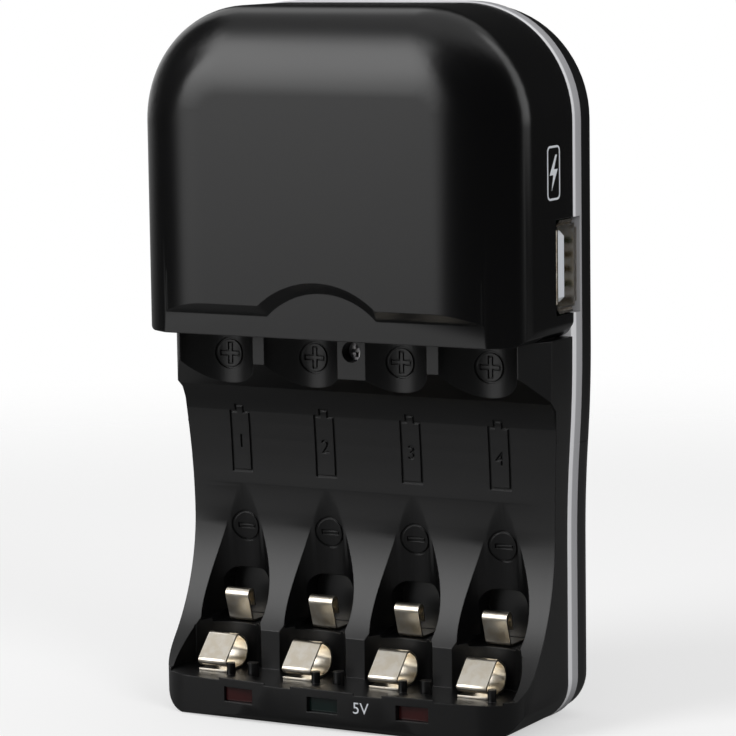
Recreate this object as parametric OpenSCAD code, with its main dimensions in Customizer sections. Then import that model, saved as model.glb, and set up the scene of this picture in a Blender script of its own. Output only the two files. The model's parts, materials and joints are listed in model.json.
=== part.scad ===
// Wall-plug charger for four AA or AAA cells, with a USB output in its right side.
// Millimetres. X to the right, Y to the back, Z up. It stands on its lower end, with the origin at
// the middle of its footprint.

/* [Case] */
// Width over the trim band
case_w = 69; // [68:0.2:72]
// Height of the whole case
case_h = 115; // [110:0.5:124]
// Depth from the hood's front to the back face
case_d = 32; // [31:0.25:35]
// Wall of the moulded shells
wall = 1.8; // [1.6:0.1:2]
// Corner radius at the top, seen from the front
top_corner_r = 16.5; // [15.5:0.25:19]
// Corner radius at the bottom, seen from the front
bottom_corner_r = 7; // [6.6:0.2:9]
// How much narrower each side is below the hood
waist = 1.1; // [0.6:0.1:1.4]
// Height where the sides begin to narrow, below the hood
waist_drop = 1.5; // [1:0.5:4]
// Height over which they narrow
waist_h = 32; // [28:1:34]
// How far the trim band stands out past the hood
band_proud = 0.2; // [0.1:0.1:0.6]
// Width of the trim band along the depth
band_w = 4; // [3:0.25:4.5]
// Thickness of the trim band
band_t = 2.4; // [2.2:0.1:2.8]
// Bevel on the trim band's front edge
band_bevel = 0.8; // [0.4:0.1:1.2]
// Depth of the back shell behind the trim band
rear_depth = 6.1; // [5.6:0.1:7]
// How far the back shell lies inside the trim band
rear_inset = 0.6; // [0.3:0.1:1]
// Rounding of the back shell's edge
rear_edge_r = 5; // [3.5:0.25:5.5]

/* [Hood] */
// Width of the soft curve round the hood's flat front
hood_inset = 14; // [12.5:0.25:14.5]
// Radius of that soft curve
hood_soft_r = 20; // [18.5:0.5:24]
// Radius of the edge between the soft curve and the sides
hood_edge_r = 5; // [4:0.25:6]
// Rounding of the hood's lower corners, seen from the front
hood_foot_r = 2.5; // [1:0.25:4]
// Height of the stepped strip along the hood's lower edge
step_h = 4.3; // [3:0.1:6]
// How far that strip is set back
step_in = 1.8; // [1:0.1:2.2]
// Width of the thumb notch
notch_w = 20.4; // [14:0.2:26]
// Rise of the thumb notch above the strip
notch_rise = 4; // [2.5:0.1:5]

/* [Cells] */
// Distance from one bay to the next
bay_pitch = 15.8; // [15.6:0.1:16.1]
// Diameter of an AA cell
aa_d = 14.5; // [14:0.1:14.6]
// Length of an AA cell
aa_l = 50.5; // [50:0.1:50.8]
// Diameter of an AAA cell
aaa_d = 10.5; // [10:0.1:10.8]
// Length of an AAA cell
aaa_l = 44.5; // [44:0.1:44.8]
// Room round a cell in its bay
cell_gap = 0.15; // [0.1:0.05:0.25]

/* [Bay section] */
// How far the bay section's sides lie inside the hood's
side_inset = 0.1; // [0.1:0.1:0.5]
// Depth of the bay floor at its deepest, from the front
floor_depth = 17.1; // [16.5:0.1:17.6]
// Height of the bay floor's deepest line
floor_z = 31; // [29:0.5:33]
// Radius of the floor's curve below that line
floor_low_r = 31.3; // [30:0.1:33]
// Radius of the floor's curve above that line
floor_top_r = 167; // [140:1:200]
// Height of the lower lip
lip_h = 6.8; // [6.4:0.1:7.4]
// Radius of the lip's bowed front, seen from above
lip_bow_r = 180; // [140:5:260]
// Corner radius of the lip, seen from above
lip_corner_r = 8; // [7:0.5:10]
// Rounding of the lip's lower front edge
lip_edge_r = 3; // [1.5:0.25:4]
// Thickness of the lip
lip_t = 4.3; // [3.5:0.1:4.6]
// Depth of the trench behind the lip that holds the AA contacts
trench_d = 7; // [6.6:0.1:7.4]
// Height of the trench's floor
trench_z = 6.4; // [6.2:0.1:6.6]
// Depth of the scoops under the hood, from the front
scoop_depth = 13.7; // [13.2:0.1:14.2]
// Height of the scoops' lower end below the hood
scoop_drop = 9.4; // [8:0.2:11]
// Rise of the ridges' lower ends per millimetre forward
scoop_rise = 0.85; // [0.6:0.05:1.1]
// Height of the ridges between the scoops
ridge_h = 4.6; // [3.5:0.1:5.2]
// Slope of the AAA troughs against the upright
trough_tilt = 8.2; // [7:0.2:9]
// Height where the troughs begin
trough_top_z = 36; // [34:0.5:38]
// Height where the troughs end in a step
trough_end_z = 14.5; // [14.2:0.1:15]

/* [Contacts] */
// Height of the AA contacts' tops
aa_apex_z = 12; // [11.8:0.1:12.4]
// Sheet thickness of the contacts
leaf_t = 0.35; // [0.3:0.05:0.4]
// Width of the AA leaf contacts
aa_leaf_w = 5.2; // [4.5:0.1:5.8]
// Width of the AAA leaf contacts
aaa_leaf_w = 4.4; // [3.8:0.1:5]
// Width of the plates that meet the cells' caps
cap_plate_w = 8; // [7:0.2:9]

/* [Output and lights] */
// Height of the output socket's middle above the hood's lower edge
usb_up = 11.3; // [11:0.1:13]
// Socket shell, long way
usb_l = 13.1; // [12.9:0.05:13.3]
// Socket shell, short way
usb_t = 6.4; // [6:0.1:6.6]
// Depth of the socket shell
usb_depth = 13.6; // [12.5:0.1:14]
// Width of an indicator window
window_w = 5.4; // [4.8:0.1:6]
// Height of an indicator window
window_h = 2.3; // [2:0.1:2.4]
// Height of the windows' lower edge
window_z = 3.1; // [2.9:0.05:3.3]
// How far the windows are set in from the lip's front
window_in = 0.8; // [0.5:0.1:1.2]

/* [Plug] */
// Height of the plug's hinge above the hood's lower edge
plug_up = 19.5; // [18:0.5:20]
// Distance between the two blades
blade_pitch = 12.7; // [12.6:0.05:12.8]
// Width of a blade
blade_w = 6.35; // [6.2:0.05:6.4]
// Thickness of a blade
blade_t = 1.5; // [1.4:0.05:1.6]
// Length of a blade outside its barrel
blade_l = 17.5; // [16:0.25:18]
// Radius of the barrel that carries the blades
barrel_r = 4.4; // [4.2:0.05:4.5]
// Length of that barrel
barrel_l = 20; // [18.5:0.25:20.5]
// Radius of the hinge pin
pin_r = 1; // [0.9:0.05:1.1]

/* [Board and screws] */
// Thickness of the circuit board
board_t = 1.2; // [1:0.1:1.4]
// Shank radius of the case screws
screw_r = 1.1; // [1:0.05:1.2]
// Head radius of the case screws
screw_head_r = 2.3; // [2.1:0.1:2.4]
// Height of the case screws' heads
screw_head_h = 1.6; // [1.4:0.1:1.8]

/* [Hidden] */
$fn = 64;

// Small gaps: cut is the overlap of a cutting tool, seat the gap between pieces that rest on each
// other, run the gap round a turning piece, thread the gap round a screw in its boss
cut = 1;
seat = 0.05;
run = 0.3;
thread = 0.02;

// Case planes
half_w = case_w / 2;
front_y = -case_d / 2;
back_y = case_d / 2;
band_y1 = back_y - rear_depth;
band_y0 = band_y1 - band_w;
hood_half = half_w - band_proud;
side_half = hood_half - side_inset;
hood_z = aa_apex_z + aa_l;
hood_top = case_h - band_proud;
step_y = front_y + step_in;

// Waist: two arcs that meet halfway, one bent out and one bent in
waist_z1 = hood_z - waist_drop;
waist_z0 = waist_z1 - waist_h;
waist_angle = 2 * atan(waist / waist_h);
waist_r = waist_h / 2 / sin(waist_angle);
waist_fn = 720;
waist_steps = 8;

// Hood section: a soft arc from the flat front, then the edge's arc down to the side
soft_angle = asin((hood_inset - hood_edge_r) / (hood_soft_r - hood_edge_r));
hood_side_y = front_y + hood_soft_r - (hood_soft_r - hood_edge_r) * cos(soft_angle);
flat_half = hood_half - hood_inset;

// Bays
bay_count = 4;
aa_r = aa_d / 2 + cell_gap;
aaa_r = aaa_d / 2 + 5 * cell_gap;
floor_y = front_y + floor_depth;
scoop_y = front_y + scoop_depth;
ridge_y = scoop_y - ridge_h;
aa_axis_y = scoop_y - aa_r + 0.9;
lip_back_y = front_y + lip_t;
rib = 1.4;
ceiling_z = hood_z + 0.2;
ceiling_t = wall;
shelf_y = floor_y + wall;
low_ridge_half = 3;
post_r = 0.7;
post_h = 1.9;
post_x = aa_leaf_w / 2 + post_r + 0.4;
ceiling_half = hood_half - wall - 2 * seat;
ceiling_y0 = step_y + wall + 2 * seat;
pocket_half = aaa_leaf_w;
pocket_y = floor_y + 4.3;
pocket_z = trough_end_z - 1.5;
pocket_top = 21.5;
pocket_r = 2.5;

// Board, sockets and screws
board_y = pocket_y + rib + 4 * seat;
usb_y = board_y - usb_t / 2;
usb_z = hood_z + usb_up;
usb_x = hood_half - 0.3;
usb_room = 1;
window_pitch = bay_pitch;
led_y = floor_y - 2 * seat;
boss_r = screw_head_r + 0.5;
rear_boss_r = boss_r + 0.8;
case_screw_top = [flat_half + 1, hood_top - hood_inset];
case_screw_low = [side_half - waist - wall - rear_boss_r - 0.4, hood_z - 18.5];
screw_seat_y = back_y - 3.5;
front_screw_z = hood_z - 3;
front_hole_r = 1.65;
front_seat_y = floor_y - 2.3;

// Plug well
plug_y = back_y - barrel_r - 0.4;
plug_z = hood_z + plug_up;
well_half = barrel_l / 2 + 2.9;
blade_tip = barrel_r + blade_l;
blade_root = pin_r + 0.8;
slot_half = blade_t / 2 + run;
well_floor_y = plug_y - barrel_r - run;
well_z0 = plug_z - norm([blade_tip, blade_w / 2]) - 2 * run;
well_z1 = plug_z + barrel_r + run;
wiper_y = board_y - leaf_t - seat;
front_point_y = well_floor_y - wall / 2;

// Middle of a bay, counted from the left
function bay_x(i) = (i - (bay_count - 1) / 2) * bay_pitch;

// Depth of the bay floor at a height
function floor_at(z) =
    z < floor_z
        ? floor_y - floor_low_r + sqrt(pow(floor_low_r, 2) - pow(floor_z - z, 2))
        : floor_y - floor_top_r + sqrt(pow(floor_top_r, 2) - pow(z - floor_z, 2));

// Front of the bowed lip at a place across its width
function lip_at(x) = front_y + lip_bow_r - sqrt(pow(lip_bow_r, 2) - x * x);

// Points of an arc, from one angle to another
function arc(centre, r, a0, a1, n) =
    [for (i = [0 : n]) centre + r * [cos(a0 + (a1 - a0) * i / n), sin(a0 + (a1 - a0) * i / n)]];

// An outline drawn in X and Z, from one depth to another
module along_y(y0, y1) {
    translate([0, y1, 0]) rotate([90, 0, 0]) linear_extrude(y1 - y0) children();
}

// An outline drawn in Y and Z, from one side to the other
module along_x(x0, x1) {
    translate([x0, 0, 0]) rotate([90, 0, 90]) linear_extrude(x1 - x0) children();
}

// A flat outline with round corners at its top and bottom
module plate_outline(half, z0, z1, rt, rb) {
    translate([-half, z0 + rb]) square([2 * half, z1 - z0 - rt - rb]);
    translate([-half + rt, z1 - rt - cut]) square([2 * (half - rt), rt + cut]);
    translate([-half + rb, z0]) square([2 * (half - rb), rb + cut]);
    for (s = [-1, 1]) {
        translate([s * (half - rt), z1 - rt]) circle(rt);
        translate([s * (half - rb), z0 + rb]) circle(rb);
    }
}

// How far a side has narrowed at a height
function waist_in(z) =
    z > waist_z1 - waist_h / 2
        ? waist_r - sqrt(pow(waist_r, 2) - pow(waist_z1 - z, 2))
        : waist - waist_r + sqrt(pow(waist_r, 2) - pow(z - waist_z0, 2));

// The waist in short flats, from its foot up, along a side that is x from the middle
function waist_side(x) =
    [for (i = [0 : waist_steps]) let (z = waist_z0 + waist_h * i / waist_steps) [x - waist_in(z), z]];

// A case outline that narrows below the hood, drawn at the trim band, grown inwards by g, from z0 up
module case_outline(g, rt, rb, z0) {
    half = half_w - g;
    low = half - waist;
    top = case_h - g;
    side = waist_side(half);
    polygon(concat(
        [[-low, z0 + rb], [low, z0 + rb]], side,
        [[half, top - rt], [-half, top - rt]], [for (i = [waist_steps : -1 : 0]) [-side[i][0], side[i][1]]]
    ));
    translate([-half + rt, top - rt - cut]) square([2 * (half - rt), rt + cut]);
    translate([-low + rb, z0]) square([2 * (low - rb), rb + cut]);
    for (s = [-1, 1]) {
        translate([s * (half - rt), top - rt]) circle(rt);
        translate([s * (low - rb), z0 + rb]) circle(rb);
    }
}

// A wall section swept up both sides and over the top of a case outline. The section is drawn with
// its outer face at 0, its inside towards minus X, and the depth along Y.
module over_top(half, z0, z1, rt) {
    for (s = [0, 1]) mirror([s, 0, 0]) {
        translate([half, 0, z0]) linear_extrude(z1 - rt - z0) children();
        translate([half - rt, 0, z1 - rt]) rotate([-90, 0, 0])
            rotate_extrude(angle = 90, start = -90) translate([rt, 0]) children();
    }
    translate([half - rt, 0, z1]) rotate([0, -90, 0]) linear_extrude(2 * (half - rt)) children();
}

// The same with the waist below the hood, closed round the bottom and grown inwards by g
module all_round(g, rt, rb) {
    half = half_w - g;
    low = half - waist;
    over_top(half, waist_z1, case_h - g, rt) children();
    for (s = [0, 1]) mirror([s, 0, 0]) {
        translate([half_w - waist_r, 0, waist_z1]) rotate([-90, 0, 0])
            rotate_extrude(angle = waist_angle, $fn = waist_fn) translate([waist_r - g, 0]) children();
        translate([half_w - waist + waist_r, 0, waist_z0]) rotate([-90, 0, 0])
            rotate_extrude(angle = waist_angle, start = 180, $fn = waist_fn)
                translate([waist_r + g, 0]) mirror([1, 0]) children();
        translate([low, 0, g + rb]) linear_extrude(waist_z0 - g - rb) children();
        translate([low - rb, 0, g + rb]) rotate([-90, 0, 0])
            rotate_extrude(angle = 90) translate([rb, 0]) children();
    }
    translate([low - rb, 0, g]) mirror([0, 0, 1]) rotate([0, -90, 0])
        linear_extrude(2 * (low - rb)) children();
}

// Section of a shell's side wall that turns into its face with a round edge: the wall runs from the
// open edge at y_open to the face at y_face
module edge_section(y_open, y_face, r, t) {
    d = y_face > y_open ? 1 : -1;
    straight = abs(y_face - y_open) - r;
    translate([0, y_open]) mirror([0, d > 0 ? 0 : 1]) {
        difference() {
            translate([-t, 0]) square([t, straight]);
            translate([-2 * t - cut, -cut]) square([t + cut, straight]);
        }
        intersection() {
            translate([-r, straight]) difference() {
                circle(r);
                circle(r - t);
            }
            translate([-r, straight]) square(r);
        }
    }
}

// A slice of a round wall between two directions, counted from the front towards the side
module wall_arc(centre, r, t, a0, a1) {
    translate(centre) intersection() {
        difference() {
            circle(r);
            circle(r - t);
        }
        polygon([[0, 0], 2 * r * [sin(a0), -cos(a0)], 2 * r * [sin(a1), -cos(a1)]]);
    }
}

// Section of the hood's wall: straight side, edge, soft curve
module hood_section() {
    soft_c = [-hood_inset, front_y + hood_soft_r];
    translate([-wall, hood_side_y]) square([wall, band_y0 - hood_side_y]);
    wall_arc([-hood_edge_r, hood_side_y], hood_edge_r, wall, soft_angle, 90);
    wall_arc(soft_c, hood_soft_r, wall, 0, soft_angle);
    // Core that joins the two arcs
    translate(soft_c + (hood_soft_r - wall / 2) * [sin(soft_angle), -cos(soft_angle)]) circle(wall / 4);
}

// Everything in front of the bay floor, grown by g into the floor
module before_floor(z0, z1, g = 0) {
    along_x(-half_w, half_w) {
        intersection() {
            translate([floor_y - floor_low_r, floor_z]) circle(floor_low_r + g, $fn = 128);
            translate([front_y - 10, z0]) square([case_d, floor_z - z0]);
        }
        intersection() {
            translate([floor_y - floor_top_r, floor_z]) circle(floor_top_r + g, $fn = 256);
            translate([front_y - 10, floor_z]) square([case_d, z1 - floor_z]);
        }
    }
}

// Outline of the bay section's foot seen from above, with its bowed front, grown inwards by g
module lip_plan(g = 0) {
    half = side_half - waist - g;
    r = lip_corner_r - g;
    bow = lip_bow_r - g;
    bow_y = front_y + lip_bow_r;
    corner_x = half - r;
    corner_y = bow_y - sqrt(pow(bow - r, 2) - pow(corner_x, 2));
    meet_x = corner_x * bow / (bow - r);
    meet_y = bow_y - (bow_y - corner_y) * bow / (bow - r);
    intersection() {
        translate([0, bow_y]) circle(bow, $fn = waist_fn);
        translate([-meet_x, front_y - cut]) square([2 * meet_x, meet_y - front_y + 2 * cut]);
    }
    translate([-meet_x, meet_y + cut / 2]) square([2 * meet_x, band_y0 - meet_y + cut / 2]);
    translate([-half, corner_y]) square([2 * half, band_y0 - corner_y + cut]);
    for (s = [-1, 1]) translate([s * corner_x, corner_y]) circle(r);
}

// Side view of the bay section's block, with the round lower front edge
module lip_side() {
    translate([front_y, lip_edge_r]) square([band_y0 - front_y + cut, hood_z - lip_edge_r]);
    translate([front_y + lip_edge_r, 0]) square([band_y0 - front_y - lip_edge_r + cut, lip_edge_r + cut]);
    translate([front_y + lip_edge_r, lip_edge_r]) circle(lip_edge_r);
}

// The bay section's width at each height, grown inwards by g
module side_outline(g = 0) {
    intersection() {
        case_outline(half_w - side_half + g, top_corner_r, bottom_corner_r - g, g);
        translate([-half_w, 0]) square([case_w, hood_z + cut]);
    }
}

// Outer block of the bay section, before the bays are cut
module bay_block() {
    intersection() {
        along_y(front_y, band_y0) side_outline();
        union() {
            translate([0, 0, -cut]) linear_extrude(waist_z0 + cut) lip_plan();
            translate([-half_w, lip_back_y, waist_z0]) cube([case_w, case_d, hood_z]);
        }
        along_x(-half_w, half_w) lip_side();
    }
}

// The hollow inside the bay section, behind the floor
module bay_hollow() {
    difference() {
        intersection() {
            along_y(front_y, band_y0 + cut) side_outline(wall);
            translate([0, 0, wall]) linear_extrude(hood_z) union() {
                lip_plan(wall);
                translate([-half_w, -lip_corner_r]) square([case_w, band_y0 + cut + lip_corner_r]);
            }
        }
        before_floor(-cut, hood_z + 10 * cut, wall);
    }
}

// The tilted cylinder of an AAA cell's trough, grown by g
module trough(g = 0) {
    translate([0, floor_at(trough_top_z), trough_top_z]) rotate([trough_tilt, 0, 0])
        translate([0, -aaa_r, 4]) mirror([0, 0, 1])
            cylinder(r = aaa_r + g, h = (trough_top_z - trough_end_z) / cos(trough_tilt) + 4 + g);
}

// The pocket behind an AAA contact, grown by g
module contact_pocket(g = 0) {
    along_y(lip_back_y + 9, pocket_y + g)
        plate_outline(pocket_half + g, pocket_z - g, pocket_top + g, pocket_r + g, 0.5);
}

// Where an AA cell's lower end goes, grown by g
module cell_seat(g = 0) {
    translate([0, aa_axis_y, trench_z - g]) cylinder(r = aa_r + g, h = 16);
}

// The trench behind the lip, grown by g
module trench(g = 0) {
    half = bay_x(bay_count - 1) + aa_r - 1;
    along_x(-half - g, half + g) translate([lip_back_y - g, trench_z - g])
        square([trench_d + 2 * g, floor_z - trench_z]);
}

// Outline of the shelf under the hood seen from above
module shelf_plan(half) {
    outer = bay_x(bay_count - 1) + aa_r - run;
    polygon([
        [-half, shelf_y], [-half, floor_at(hood_z)], [-outer, ridge_y],
        [outer, ridge_y], [half, floor_at(hood_z)], [half, shelf_y]
    ]);
}

// The shelf under the hood with its scoops, whose lower face slopes up to the front
module scoop_shelf() {
    low_z = hood_z - scoop_drop;
    difference() {
        intersection() {
            along_y(front_y, shelf_y) side_outline();
            translate([0, 0, trough_top_z]) {
                linear_extrude(hood_z - trough_top_z) shelf_plan(side_half);
                linear_extrude(ceiling_z - trough_top_z) shelf_plan(ceiling_half);
            }
            along_x(-half_w, half_w) polygon([
                [shelf_y, low_z - (shelf_y - scoop_y) * scoop_rise],
                [ridge_y - cut, low_z + (scoop_y - ridge_y + cut) * scoop_rise],
                [ridge_y - cut, ceiling_z], [shelf_y, ceiling_z]
            ]);
        }
        for (i = [0 : bay_count - 1])
            translate([bay_x(i), scoop_y - aa_r, trough_top_z]) cylinder(r = aa_r, h = hood_z);
        // The middle ridge is lower
        translate([-low_ridge_half, ridge_y - cut, trough_top_z])
            cube([2 * low_ridge_half, cut + ridge_h / 2, hood_z]);
    }
}

// Hole of the front screw, with the seat of its head
module front_screw_hole() {
    translate([0, ridge_y, front_screw_z]) rotate([-90, 0, 0]) {
        cylinder(r = front_hole_r, h = front_seat_y - ridge_y);
        cylinder(r = screw_r + 2 * seat, h = case_d);
    }
}

// The wall above the cells' caps, inside the hood, with a slot for each cap plate
module bay_ceiling() {
    front_half = flat_half + wall;
    difference() {
        translate([0, 0, ceiling_z]) linear_extrude(ceiling_t) polygon([
            [-front_half, ceiling_y0], [front_half, ceiling_y0],
            [ceiling_half, hood_side_y], [ceiling_half, shelf_y],
            [-ceiling_half, shelf_y], [-ceiling_half, hood_side_y]
        ]);
        for (i = [0 : bay_count - 1])
            translate([bay_x(i) - cap_plate_w / 2 - 2 * seat, cap_tab_y - 2 * seat, ceiling_z - cut])
                cube([cap_plate_w + 4 * seat, leaf_t + 4 * seat, ceiling_t + 2 * cut]);
    }
}

module front_housing() {
    color([0.09, 0.09, 0.1]) difference() {
        union() {
            difference() {
                union() {
                    difference() {
                        bay_block();
                        bay_hollow();
                    }
                    intersection() {
                        bay_block();
                        union() {
                            trench(rib);
                            for (i = [0 : bay_count - 1]) translate([bay_x(i), 0, 0]) {
                                trough(rib);
                                cell_seat(rib);
                            }
                        }
                    }
                    for (i = [0 : bay_count - 1]) translate([bay_x(i), 0, 0]) contact_pocket(rib);
                    for (s = [-1, 1])
                        translate([s * case_screw_low[0], floor_y - wall / 2, case_screw_low[1]])
                            rotate([-90, 0, 0])
                                cylinder(r = boss_r, h = board_y - seat - floor_y + wall / 2);
                }
                before_floor(lip_h, hood_z + cut);
                trench();
                for (i = [0 : bay_count - 1]) translate([bay_x(i), 0, 0]) {
                    trough();
                    cell_seat();
                    contact_pocket();
                }
            }
            scoop_shelf();
            bay_ceiling();
            // Locating posts beside each AA contact and between the bays
            for (i = [0 : bay_count - 1])
                translate([bay_x(i) + post_x, lip_back_y + 2 * post_r, trench_z - rib / 2])
                    cylinder(r = post_r, h = post_h + rib / 2);
            for (i = [0 : bay_count - 2])
                translate([bay_x(i) + bay_pitch / 2, lip_back_y + 2 * post_r, trench_z - rib / 2])
                    cylinder(r = post_r + 0.2, h = post_h + 0.4 + rib / 2);
        }
        for (k = [-1 : 1])
            translate([k * window_pitch - window_w / 2 - seat, front_y - cut, window_z - seat])
                cube([window_w + 2 * seat, case_d, window_h + 2 * seat]);
        for (s = [-1, 1]) translate([s * case_screw_low[0], floor_y + wall, case_screw_low[1]])
            rotate([-90, 0, 0]) cylinder(r = screw_r + thread, h = case_d);
        front_screw_hole();
    }
}

module hood_cover() {
    notch_r = (pow(notch_w / 2, 2) + pow(notch_rise, 2)) / (2 * notch_rise);
    step_z = hood_z + step_h;
    backing_half = flat_half + hood_soft_r * sin(soft_angle) * 2 / 3;
    color([0.07, 0.07, 0.08]) difference() {
        union() {
            over_top(hood_half, hood_z, hood_top, top_corner_r) hood_section();
            along_y(front_y, front_y + wall) intersection() {
                plate_outline(flat_half, hood_z - hood_inset, hood_top - hood_inset,
                              top_corner_r - hood_inset, cut);
                translate([-half_w, hood_z]) square([case_w, case_h]);
            }
            // Core that joins the flat front to the soft curve
            along_y(front_y + wall / 3, front_y + wall * 2 / 3)
                plate_outline(flat_half + cut, hood_z + cut, hood_top - hood_inset + cut,
                              top_corner_r - hood_inset + cut, cut);
            // Backing of the stepped strip and its notch
            translate([-backing_half, step_y - 4 * seat, hood_z])
                cube([2 * backing_half, wall + 4 * seat, step_h + notch_rise + step_in]);
            for (s = [-1, 1]) translate([s * case_screw_top[0], front_y + wall * 2 / 3, case_screw_top[1]])
                rotate([-90, 0, 0]) cylinder(r = boss_r, h = board_y - seat - front_y - wall * 2 / 3);
        }
        // The strip along the lower edge, with its sloped upper wall
        along_x(-half_w, half_w) polygon([
            [front_y - cut, hood_z - cut], [step_y, hood_z - cut], [step_y, step_z - step_in / 2],
            [front_y, step_z + step_in / 2], [front_y - cut, step_z + step_in / 2]
        ]);
        translate([0, front_y, step_z + notch_rise - notch_r]) rotate([-90, 0, 0])
            cylinder(r1 = notch_r + step_in / 2, r2 = notch_r - step_in / 2, h = step_in);
        // Round lower corners
        for (s = [0, 1]) mirror([s, 0, 0])
            along_y(front_y - cut, band_y0 + cut) translate([hood_half - hood_foot_r, hood_z])
                difference() {
                    translate([0, -cut]) square([hood_foot_r + cut, hood_foot_r + cut]);
                    translate([0, hood_foot_r]) circle(hood_foot_r);
                }
        // Socket opening and screw holes
        along_x(hood_half - 3 * wall, half_w + cut)
            translate([usb_y - usb_t / 2 - usb_room, usb_z - usb_l / 2 - usb_room])
                square([usb_t + 10 * cut, usb_l + 2 * usb_room]);
        for (s = [-1, 1]) translate([s * case_screw_top[0], floor_y, case_screw_top[1]])
            rotate([-90, 0, 0]) cylinder(r = screw_r + thread, h = case_d);
    }
}

module trim_band() {
    rt = top_corner_r + band_proud;
    rb = bottom_corner_r + band_proud;
    core_out = band_t / 3;
    core_in = band_t * 2 / 3;
    color([0.72, 0.73, 0.75]) difference() {
        union() {
            all_round(0, rt, rb) polygon([
                [-band_t, band_y0], [-band_bevel / 2, band_y0], [0, band_y0 + band_bevel],
                [0, band_y1], [-band_t, band_y1]
            ]);
            // Core that joins the swept lengths
            along_y(band_y0 + cut, band_y1 - cut) difference() {
                case_outline(core_out, rt - core_out, rb - core_out, core_out);
                case_outline(core_in, rt - core_in, rb - core_in, core_in);
            }
        }
        along_x(half_w - 2 * band_t, half_w + cut)
            translate([band_y0 - cut, usb_z - usb_l / 2 - usb_room])
                square([band_w + 2 * cut, usb_l + 2 * usb_room]);
    }
}

// The two slots and the barrel's room in the plug well
module plug_room() {
    translate([-barrel_l / 2 - run, well_floor_y, plug_z - barrel_r - run])
        cube([barrel_l + 2 * run, case_d, 2 * (barrel_r + run)]);
    for (s = [-1, 1]) translate([s * blade_pitch / 2 - slot_half, plug_y - blade_w / 2 - run, well_z0])
        cube([2 * slot_half, case_d, plug_z - well_z0]);
    // Finger hollow at the blades' tips
    translate([0, back_y, well_z0 + 3.5]) rotate([0, 90, 0])
        cylinder(r = 3, h = blade_pitch + 4, center = true);
}

module rear_cover() {
    rt = top_corner_r + band_proud - rear_inset;
    rb = bottom_corner_r + band_proud - rear_inset;
    back_inset = rear_inset + rear_edge_r;
    boss_y0 = board_y + board_t + seat;
    front_boss_y = floor_y + wall + seat;
    color([0.08, 0.08, 0.09]) difference() {
        union() {
            all_round(rear_inset, rt, rb) edge_section(band_y1, back_y, rear_edge_r, wall);
            along_y(back_y - wall, back_y)
                case_outline(back_inset, rt - rear_edge_r, rb - rear_edge_r, back_inset);
            translate([-well_half, well_floor_y - wall, well_z0 - wall]) cube([
                2 * well_half, back_y - wall / 2 - well_floor_y + wall, well_z1 - well_z0 + 2 * wall
            ]);
            // Boss that takes the front screw
            translate([0, front_boss_y, front_screw_z]) rotate([-90, 0, 0])
                cylinder(r = boss_r, h = well_floor_y - wall / 2 - front_boss_y);
            for (p = [case_screw_top, case_screw_low], s = [-1, 1])
                translate([s * p[0], boss_y0, p[1]]) rotate([-90, 0, 0])
                    cylinder(r = rear_boss_r, h = back_y - wall / 2 - boss_y0);
        }
        plug_room();
        translate([-well_half - cut, plug_y, plug_z]) rotate([0, 90, 0])
            cylinder(r = pin_r + thread, h = 2 * well_half + 2 * cut);
        // Slots of the plug's sprung strips, out to the board and along the barrel's ends
        for (s = [0, 1]) mirror([s, 0, 0]) translate([wiper_x - 3 * seat, 0, wiper_z - 3 * seat]) {
            translate([0, wiper_y - 3 * seat, 0])
                cube([well_half, leaf_t + 6 * seat, wiper_h + 6 * seat]);
            translate([0, wiper_y - 3 * seat, 0])
                cube([leaf_t + 6 * seat, plug_y - board_y + 6 * seat, wiper_h + 6 * seat]);
        }
        translate([0, front_boss_y - cut, front_screw_z]) rotate([-90, 0, 0])
            cylinder(r = screw_r + thread, h = front_point_y + run - front_boss_y + cut);
        for (p = [case_screw_top, case_screw_low], s = [-1, 1]) translate([s * p[0], 0, p[1]]) {
            translate([0, screw_seat_y, 0]) rotate([-90, 0, 0])
                cylinder(r = screw_head_r + run, h = case_d);
            translate([0, floor_y, 0]) rotate([-90, 0, 0])
                cylinder(r = screw_r + 4 * seat, h = back_y - floor_y);
        }
    }
}

// A folded strip: a chain of arcs, each [centre, radius, first angle, last angle], joined by straight
// runs. Arcs that run backwards bend the other way.
module leaf(arcs, w, start, finish) {
    function side(o) = [for (a = arcs) each arc(a[0], a[1] + (a[3] > a[2] ? o : -o), a[2], a[3], 8)];
    outer = concat([start + leaf_end(start, arcs[0], leaf_t / 2)], side(leaf_t / 2));
    inner = concat([start + leaf_end(start, arcs[0], -leaf_t / 2)], side(-leaf_t / 2));
    last = arcs[len(arcs) - 1];
    run_out = finish * (last[3] > last[2] ? 1 : -1) * [-sin(last[3]), cos(last[3])];
    tip = [outer[len(outer) - 1] + run_out, inner[len(inner) - 1] + run_out];
    along_x(-w / 2, w / 2) polygon(concat(outer, tip, [for (i = [len(inner) - 1 : -1 : 0]) inner[i]]));
}

// Offset from the middle of a strip's first edge to one of its faces
function leaf_end(start, first, o) = (first[3] > first[2] ? o : -o) * [cos(first[2]), sin(first[2])];

// The AA contact: base on the trench floor, rounded back, apex, ramp to the front, curled end
aa_base_z = trench_z + seat + leaf_t / 2;
aa_back_r = 2.4;
aa_apex_r = 0.9;
aa_curl_r = 0.6;
aa_back_c = [lip_back_y + 6.3, aa_base_z + aa_back_r];
aa_rise = (aa_apex_z - aa_apex_r - aa_back_c[1] - (aa_back_r - aa_apex_r) * sin(60)) / sin(30);
aa_apex_c = aa_back_c + (aa_back_r - aa_apex_r) * [cos(60), sin(60)] + aa_rise * [-cos(30), sin(30)];
aa_ramp = 4.5;
aa_curl_c = aa_apex_c + (aa_apex_r - aa_curl_r) * [cos(135), sin(135)] + aa_ramp * [-cos(45), -sin(45)];

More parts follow.
